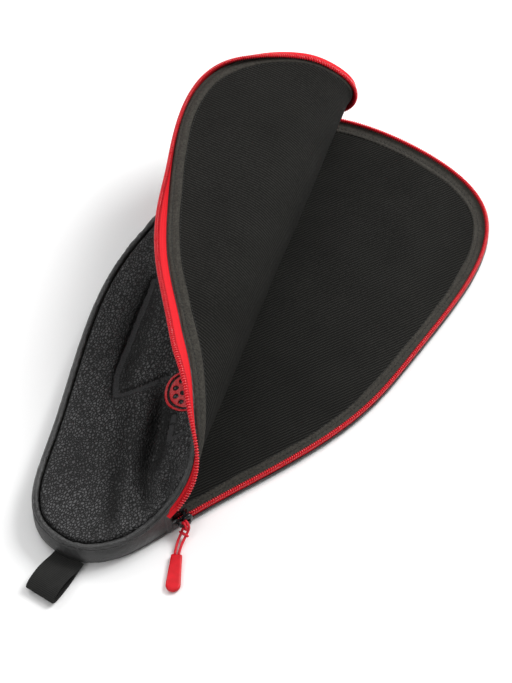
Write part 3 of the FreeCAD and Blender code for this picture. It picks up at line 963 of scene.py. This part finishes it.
def make_gusset():
    """The leather wall round the handle end, and its lining."""
    at = along_rim(ZIP_END - RIM_LENGTH - 3 * MM, ZIP_START + 2 * MM, 1.6 * MM)
    part = np.linspace(0, 1, 14)
    end_share = (at / RIM_LENGTH + 0.5) % 1 - 0.5
    bulge = 0.8 + 1.7 * hump(end_share - 0.02, 0.045)
    belly = sin(part * pi) ** 0.7 * (1.25 - 0.5 * part)
    inset = (0.9 - bulge[:, None] * belly) * MM
    height = WALL_LOW - 0.3 * MM + part * (WALL_HIGH - WALL_LOW + 0.6 * MM)
    closed, faces = wall_shape(at, inset, inset[:, ::-1] + 1.3 * MM, height)
    creased = sin(closed[:, 0] / (4.3 * MM)) * sin(closed[:, 1] / (3.1 * MM) + 1)
    closed[:, 2] += 0.25 * MM * creased
    make_wall("gusset", closed, faces, smooth_leather, "gusset_cover")
    inside = np.array([[3.0, 4.2], [2.7, 4.6], [2.6, 9.0], [2.7, 14.6], [3.0, 15.2]]) * MM
    closed = swept(at, inside).reshape(-1, 3)
    faces = grid_faces(len(at), len(inside))
    make_wall("gusset_lining", closed, faces, back_knit, "gusset_lining")


# Lean of the front tape from upright, outwards, in degrees, by share of the rim.
LEANS = [
    (0.072, 0), (0.085, 10), (0.10, 42), (0.12, 72), (0.14, 80), (0.18, 72), (0.22, 66),
    (0.26, 60), (0.29, 45), (0.32, 18), (0.35, 4), (0.40, -8), (0.42, -26), (0.44, -55),
    (0.46, -74), (0.48, -82), (0.51, -84), (0.53, -74), (0.55, -40), (0.57, -8), (0.60, 0),
]
SEAM_INSET = 1.4 * MM
FOLD_CLEARANCE = 2.5 * MM
TAPE_BEND = 2.2 * MM
TAPE_WIDTH = WALL_HIGH - FACE / 2 - 1.6 * MM
TAPE_HALF = 0.35 * MM
TAPE_TOP = WALL_HIGH + 0.4 * MM
TAPE_LOW = FACE - TAPE_TOP
UNDER_COIL = 1.2 * MM
COIL_OVER = 0.2 * MM
COIL_PITCH = 1.7 * MM


def lean_at(at):
    """How far the front tape leans outwards from upright."""
    even = np.linspace(-0.1, 1.1, 1201)
    lean = blurred(np.interp(even, *zip(*LEANS)), 30, 11, "edge")
    return np.radians(np.interp(np.asarray(at) / RIM_LENGTH, even, lean))


def tape_width(at):
    """Width of tape that shows, more where the fold stretches it."""
    share = np.asarray(at) / RIM_LENGTH
    right = plateau(share, 0.12, 0.18, 0.27, 0.33)
    head = plateau(share, 0.38, 0.45, 0.53, 0.57)
    return TAPE_WIDTH + 3.4 * MM * right + 3.6 * MM * head


def tape_frame(at, out, along_tape):
    """(inset, height) of points on the front tape, out from it and down it.

    Where it leans inwards it clears the binding first, and then folds over.
    """
    lean = lean_at(at)[:, None]
    straight = np.where(lean < 0, FOLD_CLEARANCE, 0)
    past = np.clip(along_tape - straight, 0, None)
    bent = np.minimum(past, TAPE_BEND)
    turn = lean * bent / TAPE_BEND
    chord = bent * np.sinc(turn / 2 / pi)
    beyond = past - bent
    side = chord * sin(turn / 2) + beyond * sin(turn)
    down = np.minimum(along_tape, straight) + chord * cos(turn / 2) + beyond * cos(turn)
    inset = SEAM_INSET - side - cos(turn) * out
    return np.stack([inset, TAPE_TOP - down + sin(turn) * out], axis=-1)


def make_tapes():
    """Both zipper tapes, and the front one's thread."""
    at = along_rim(ZIP_START - 3 * MM, ZIP_END + 3 * MM, 1.6 * MM)
    rows = 8
    width = np.linspace(0, TAPE_WIDTH, rows)
    out = np.concatenate([np.full(rows, TAPE_HALF), np.full(rows, -TAPE_HALF)])
    down = np.concatenate([width, width[::-1]]) / TAPE_WIDTH
    shown = tape_width(at)[:, None]
    front = swept(at, tape_frame(at, out, down * (shown + UNDER_COIL)))
    rolled("zipper_tape", *tube(front), tape, slices=3)
    thread, from_edge, sides = 0.3 * MM, 1.7 * MM, 6
    seam_out = TAPE_HALF + thread * cos(ring(sides))
    seam_down = shown - from_edge + thread * sin(ring(sides))
    seams = [swept(at, tape_frame(at, sign * seam_out, seam_down)) for sign in (1, -1)]
    rolled("zipper_seam", *join_grids(*map(tube, seams)), red_thread, nodes=False)
    back = np.column_stack([SEAM_INSET - out, TAPE_LOW + down * (TAPE_WIDTH + UNDER_COIL)])
    fixed("back_zipper_tape", *tube(swept(at, back)), tape, node="zipper_tape_back")


def coil_shape(place):
    """A spiral of nylon along the rim; place gives its (inset, height)."""
    first, last = ZIP_START + 4 * MM, ZIP_END - 2 * MM
    steps, sides = 12, 5
    turn = np.arange(int((last - first) / COIL_PITCH) * steps) / steps
    at = first + turn * COIL_PITCH
    around = turn[:, None] * 2 * pi
    wire, wide, deep = 0.50 * MM, 1.10 * MM, 1.30 * MM
    out = (wide + wire * cos(ring(sides))) * cos(around)
    down = (deep + wire * cos(ring(sides))) * sin(around)
    spots = place(at, out, down)
    point, inwards = on_rim(at[:, None] + wire * sin(ring(sides)))
    flat = point + inwards * spots[..., :1]
    return tube(np.concatenate([flat, spots[..., 1:]], axis=2))


def make_coils():
    """Both halves of the coil, each a continuous spiral."""

    def front(at, out, down):
        return tape_frame(at, out, tape_width(at)[:, None] + COIL_OVER + down)

    def back(at, out, down):
        return np.stack([SEAM_INSET - out, TAPE_LOW + TAPE_WIDTH + COIL_OVER + down], axis=-1)

    rolled("zipper_coil", *coil_shape(front), coil)
    fixed("back_zipper_coil", *coil_shape(back), coil, node="zipper_coil_back")


def end_band(first, last):
    """Leather folded over an end of the zipper, in the closed case."""
    part = np.linspace(0, 1, 10)
    rise = WALL_LOW - 0.4 * MM + part * (WALL_HIGH - WALL_LOW + 1.0 * MM)
    out = (-0.45 - 0.7 * sin(part * pi) ** 0.7) * MM
    at = along_rim(first, last, 0.45 * MM)
    ends = sin(np.linspace(0, pi, len(at)))[:, None] ** 0.25
    outer = 0.6 * MM + (out - 0.6 * MM) * ends
    return wall_shape(at, outer, 2.0 * MM + 0.7 * MM * ends, rise)


def make_end_bands():
    """The leather at the zipper's two ends, and the tongue beside the slider."""
    closed, faces = end_band(ZIP_START - 3.0 * MM, ZIP_START + 2.4 * MM)
    rest, turns = wall_at_rest(closed)
    piece = finish_piece("end_band_right", rest, faces, closed, smooth_leather)
    hang_between(piece)
    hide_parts("end_tab_right")
    closed, faces = end_band(ZIP_END - 12.0 * MM, ZIP_END + 3.0 * MM)
    fixed("end_band_left", wall_at_rest(closed)[0], faces, smooth_leather, node="end_tab_left")
    at = along_rim(ZIP_START + 1.5 * MM, ZIP_START + 8.5 * MM, 0.45 * MM)
    fade = np.sqrt(np.clip(1 - np.linspace(0, 1, len(at))[:, None] ** 3, 0.0004, 1))
    half_thick, half_tall = 1.5 * fade**0.5, 3.9 * fade
    thick, tall = squarish(ring(20), 0.5)
    section = np.stack([0.9 + thick * half_thick, 7.0 + tall * half_tall], axis=-1)
    fixed("end_band_tongue", *tube(swept(at, section * MM)), smooth_leather)


front_covers = make_front_cover()
front_linings = make_front_lining()
front_foam = foam_sheet(FACE - 3.6 * MM, FACE - 1.4 * MM, relief=True)
front_foams = rolled("foam", *front_foam, foam, slices=3)
back_foam = fixed("back_foam_sheet", *foam_sheet(1.4 * MM, 3.6 * MM), foam, node="back_foam")
rolled("piping", *piping_shape(FACE, -1, 3), edge_leather, 3)
fixed("back_piping_cord", *piping_shape(0, 1, 5), edge_leather, node="back_piping")
make_bindings()
back_cover, back_lining = make_back_panel()
make_gusset()
make_tapes()
make_coils()
make_end_bands()

# ---- slider, pull, tab

slider_body = frame["nodes"]["slider_body"]
slider_body.data.materials.clear()
slider_body.data.materials.append(metal[0])
rounding = slider_body.modifiers.new("rounding", "BEVEL")
rounding.width = 0.4 * MM
rounding.segments = 3

UP = np.array([0.0, 0.0, 1.0])
# How far out the cord's bar is, in mm, as out is measured in the slider's shapes.
BAR_OUT = 5.6
slide_along = np.array(joints["slider_run"]["axis"])
slide_out = np.array([slide_along[1], -slide_along[0], 0.0])
bar_place = np.array(joints["pull_swing"]["pos_m"])
tab_axis = np.array(joints["tab_flex"]["axis"])
tab_along = np.array([-tab_axis[1], tab_axis[0], 0.0])
tab_hinge = np.array(joints["tab_flex"]["pos_m"])


def mixed(origin, *moves):
    """A place moved by pairs of a direction and millimetres, or grids of them."""
    return origin + sum(way * np.asarray(far)[..., None] for way, far in moves) * MM


def make_bridge():
    """The slider's arch, a rounded band that the cord goes round."""
    rows, sides = 40, 16
    foot, half_length, half_thick = 1.2, 4.5, 0.62
    turn = np.linspace(-1, 1, rows)
    out = foot + (BAR_OUT - foot) * (1 - np.abs(turn) ** 3.2)
    line = np.column_stack([half_length * sin(turn * pi / 2), out])
    side = quarter_turn(unit(np.gradient(line, axis=0)))
    thick, wide = squarish(ring(sides), 0.6)
    wide = wide * (1.45 + 0.25 * turn[:, None] ** 2)
    spot = line[:, None] + side[:, None] * (half_thick * thick)[None, :, None]
    along, out = spot[..., 0], spot[..., 1]
    points = mixed(bar_place, (slide_along, along), (slide_out, out - BAR_OUT), (UP, wide))
    fixed("slider_arch", *tube(points), metal, "slider", "slider_bridge")


def make_hood():
    """The slider's rounded top, which covers its channel on the open side."""
    rows, sides = 24, 24
    middle, half_length, half_thick, half_tall = 2.6, 3.6, 1.9, 4.6
    turn = np.linspace(0.02, pi - 0.02, rows)[:, None]
    along = middle - half_length * cos(turn) + np.zeros(sides)
    swell = sin(turn) ** 0.6
    thick, tall = squarish(ring(sides), 0.8)
    out, rise = 2.3 + swell * thick * half_thick, swell * tall * half_tall
    points = mixed(bar_place, (slide_along, along), (slide_out, out - BAR_OUT), (UP, rise))
    fixed("slider_hood", *capped(points, 0, rows - 1), metal, "slider")


def make_tab():
    """The pull's soft rubber tab, wider and round at its free end."""
    straight, tip, sides = 22.5, 5.0, 28
    end = straight + tip * sin(np.linspace(0, pi / 2, 10))[1:]
    stations = np.concatenate([[0, 0.0, 0.25, 0.7], np.linspace(1.5, straight, 14), end])
    round_end = np.clip((stations - straight) / tip, 0, 0.9995)
    half = (3.7 + 1.25 * np.clip(stations / straight, 0, 1)) * np.sqrt(1 - round_end**2)
    thick = 1.6 * (1 - 0.35 * round_end**4)
    shrink = np.ones(len(stations))
    shrink[:3] = (0.02, 0.86, 0.96)
    wide, deep = squarish(ring(sides), 0.42)
    across = wide * (half * shrink)[:, None]
    rise = deep * np.minimum(thick * shrink, 0.4 + half)[:, None]
    along = stations[:, None] - 1.7 + np.zeros(sides)
    points = mixed(tab_hinge, (tab_along, along), (tab_axis, across), (UP, rise))
    shape = capped(points, len(stations) - 1)
    fixed("pull_tab_rubber", *shape, rubber, "tab", "pull_tab")


def closed_tube(centre, first, second, radius, rows=40, sides=10):
    """A ring of cord round a centre, its half widths given as vectors."""
    turn = ring(rows)[:, None]
    line = centre + first * cos(turn) + second * sin(turn)
    ahead = unit(second * cos(turn) - first * sin(turn))
    normal = unit(np.cross(first, second))
    side = np.cross(ahead, normal)[:, None]
    angle = ring(sides)[:, None]
    points = line[:, None] + radius * (side * cos(angle) + normal * sin(angle))
    return points, grid_faces(rows, sides, round_rows=True, round_columns=True)


def make_hitch():
    """The cord's wraps, one round the bar and one round both strands."""
    beside_bar = mixed(bar_place, (slide_along, -1.95), (UP, -0.5))
    round_bar = closed_tube(beside_bar, slide_out * 2.45 * MM, UP * 2.9 * MM, 0.88 * MM)
    waist = np.array((-160.1, -60.7, 4.75)) * MM
    across = unit(np.array((0.2, -3.4, -0.3)))
    strands_run = unit(np.array((-14.0, -2.8, -5.5)))
    upright = np.cross(strands_run, across)
    round_strands = closed_tube(waist, across * 2.9 * MM, upright * 1.7 * MM, 0.85 * MM)
    fixed("pull_hitch", *join_grids(round_bar, round_strands), braid, "pull")


# The hang loop's middle line from its root, out and up in mm, and back under itself.
LOOP_ROUTE = [
    (2.0, 4.95), (-1.5, 4.6), (-6, 4.9), (-11, 6.4), (-17, 7.6), (-23, 7.75), (-28, 6.9),
    (-31.3, 5.3), (-32.2, 4.1), (-31.4, 2.2), (-28.5, 1.0), (-22, 0.75), (-14, 0.75),
    (-8.0, 1.4), (-3.5, 2.9), (2.0, 3.6),
]
RIB_PITCH = 1.15


def make_hang_loop():
    """The webbing loop, its ribs running across it."""
    low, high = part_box("hang_loop")
    middle, half = (high.y + low.y) / 2, (high.y - low.y) / 2
    route = np.array(LOOP_ROUTE)
    places = np.arange(0, run_of(route)[-1], RIB_PITCH / 6)
    line = points_at(places, route)
    padding = {"padding": "reflect", "reflect_type": "odd"}
    line = np.column_stack([blurred(line[:, axis], 20, 9, **padding) for axis in (0, 1)])
    side = quarter_turn(unit(np.gradient(line, axis=0)))
    rib = 0.50 + 0.17 * cos(2 * pi * places / RIB_PITCH)
    columns = np.concatenate([[-1, -0.985], np.linspace(-0.95, 0.95, 9), [0.985, 1]])
    edge = np.array([0.35, 0.8] + [1] * 9 + [0.8, 0.35])
    across = middle + half * columns + 0.5 * sin(places / 9)[:, None] * MM
    sheets = []
    for sign in (1, -1):
        depth = sign * rib[:, None] * edge
        flat = line[:, None] + side[:, None] * depth[..., None]
        points = np.stack([high.x + flat[..., 0] * MM, across, flat[..., 1] * MM], axis=-1)
        sheets.append(points[:, ::sign])
    shape = tube(np.concatenate(sheets, axis=1))
    fixed("hang_loop_webbing", *shape, webbing, "loop", "hang_loop")


# The emblem's place along and across the fold, its circles in mm, and its rings of holes:
# how far out they are in mm, how many, and the share of a step they are turned by.
MARK_PLACE = (131 * MM, 6 * MM)
MARK_RADII = (18.0, 16.4, 14.6, 2.1)
MARK_HOLES = ((5.6, 6, 0), (10.8, 10, 0.5))
MARK_HOLE = 2.0
MARK_CUTS = 1.6 * MM


def make_mark():
    """A printed ball emblem: a ring and a disc with round holes."""
    centre = fold_start + fold_along * MARK_PLACE[0] + fold_across * MARK_PLACE[1]
    outline = bpy.data.curves.new("mark_outline", "CURVE")
    outline.dimensions = "2D"
    outline.fill_mode = "BOTH"
    circles = [(0, 0, radius) for radius in MARK_RADII]
    for distance, count, shift in MARK_HOLES:
        for number in range(count):
            angle = 2 * pi * (number + shift) / count
            circles.append((distance * cos(angle), distance * sin(angle), MARK_HOLE))
    for x, y, radius in circles:
        spline = outline.splines.new("POLY")
        steps = 72 if radius > 5 else 24
        spline.points.add(steps - 1)
        spline.use_cyclic_u = True
        for point, angle in zip(spline.points, ring(steps)):
            right, up = x + radius * cos(angle), y + radius * sin(angle)
            point.co = (right * MM, up * MM, 0, 1)
    outline.extrude = 0.06 * MM
    drawn = bpy.data.objects.new("mark_outline", outline)
    made = bmesh.new()
    made.from_mesh(drawn.to_mesh())
    drawn.to_mesh_clear()
    bpy.data.objects.remove(drawn)
    bmesh.ops.remove_doubles(made, verts=made.verts, dist=0.005 * MM)
    for cut in range(-11, 12):
        for normal in (Vector((1, 0, 0)), Vector((0, 1, 0))):
            slice_at(made, normal * cut * MARK_CUTS, normal, 0.001 * MM)
    flat, quads = taken_from(made)
    made.free()
    spots = centre + flat[:, :1] * fold_along + flat[:, 1:2] * fold_across
    spots[:, 2] = FACE + flat[:, 2] + front_relief(spots) + 0.8 * MM
    rolled("mark", spots, quads, printed, slices=3)


def make_cord():
    """The pull's cord, from the tab round the slider's bridge and back."""
    end = tab_hinge - tab_along * 2.5 * MM
    half_spread = 1.3 * MM * tab_axis

    def beside(out, height):
        point = mixed(bar_place, (slide_out, out - BAR_OUT))
        return (point[0], point[1], height * MM)

    route = [
        tuple(end + half_spread),
        (-0.1686, -0.0605, 0.0023),
        (-0.1614, -0.0589, 0.0044),
        beside(3.1, 7.4),
        beside(3.1, 12.4),
        beside(8.1, 12.4),
        beside(8.1, 7.3),
        (-0.1612, -0.0625, 0.0040),
        (-0.1679, -0.0635, 0.0022),
        tuple(end - half_spread),
    ]
    curve = bpy.data.curves.new("pull_cord_line", "CURVE")
    curve.dimensions = "3D"
    spline = curve.splines.new("NURBS")
    spline.points.add(len(route) - 1)
    for spot, place in zip(spline.points, route):
        spot.co = (*place, 1.0)
    spline.order_u = 3
    spline.use_endpoint_u = True
    spline.resolution_u = 12
    curve.bevel_depth = 0.9 * MM
    curve.bevel_resolution = 4
    curve.materials.append(braid[0])
    cord = placed("pull_cord_braid", curve)
    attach(cord, "pull")
    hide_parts("pull_cord")


make_bridge()
make_hood()
make_tab()
make_hitch()
make_cord()
make_hang_loop()
make_mark()

# ---- floor, light, camera

FLOOR_REACH = 4.0
CAMERA_PLACE = (-0.7489, -0.5191, 1.1941)
CAMERA_TARGET = (0.0015, -0.0082, 0.0)
# Each lamp's place, size and power.
LAMPS = {
    "key": ((1.05, -0.50, 1.20), 0.8, 26.0),
    "top": ((0.1, 0.0, 1.9), 1.6, 7.0),
    "left": ((0.30, 1.15, 1.10), 0.7, 7.0),
    "front": ((-1.10, 0.10, 0.90), 0.7, 4.0),
}


def aim(piece, place, target):
    """Put a lamp or the camera somewhere and turn it to a target."""
    piece.location = place
    piece.rotation_euler = (Vector(target) - Vector(place)).to_track_quat("-Z", "Y").to_euler()


def make_stage():
    """Pale floor, soft light and the camera."""
    corners = [(-1, -1), (1, -1), (1, 1), (-1, 1)]
    spots = [(x * FLOOR_REACH, y * FLOOR_REACH, -0.2 * MM) for x, y in corners]
    mesh = new_mesh("floor", spots, [(0, 1, 2, 3)])
    look = Look("pale_floor", 0.9, "object")
    look.colour(look.noise(0.6), grey(0.94), grey(0.96))
    mesh.materials.append(look.material)
    placed("floor", mesh)
    scene = bpy.context.scene
    scene.view_settings.view_transform = "Standard"
    scene.world = bpy.data.worlds.new("soft_white")
    scene.world.use_nodes = True
    background = scene.world.node_tree.nodes["Background"]
    background.inputs["Color"].default_value = (1, 1, 1, 1)
    background.inputs["Strength"].default_value = 0.24
    for name, (place, size, power) in LAMPS.items():
        lamp = bpy.data.lights.new(name, "AREA")
        lamp.energy = power
        lamp.size = size
        aim(placed(name, lamp), place, (0, 0, 0))
    lens = bpy.data.cameras.new("camera")
    lens.sensor_fit = "HORIZONTAL"
    lens.sensor_width = 36.0
    lens.lens = 149.0
    lens.clip_start, lens.clip_end = 0.05, 20.0
    scene.camera = placed("camera", lens)
    aim(scene.camera, CAMERA_PLACE, CAMERA_TARGET)


make_stage()
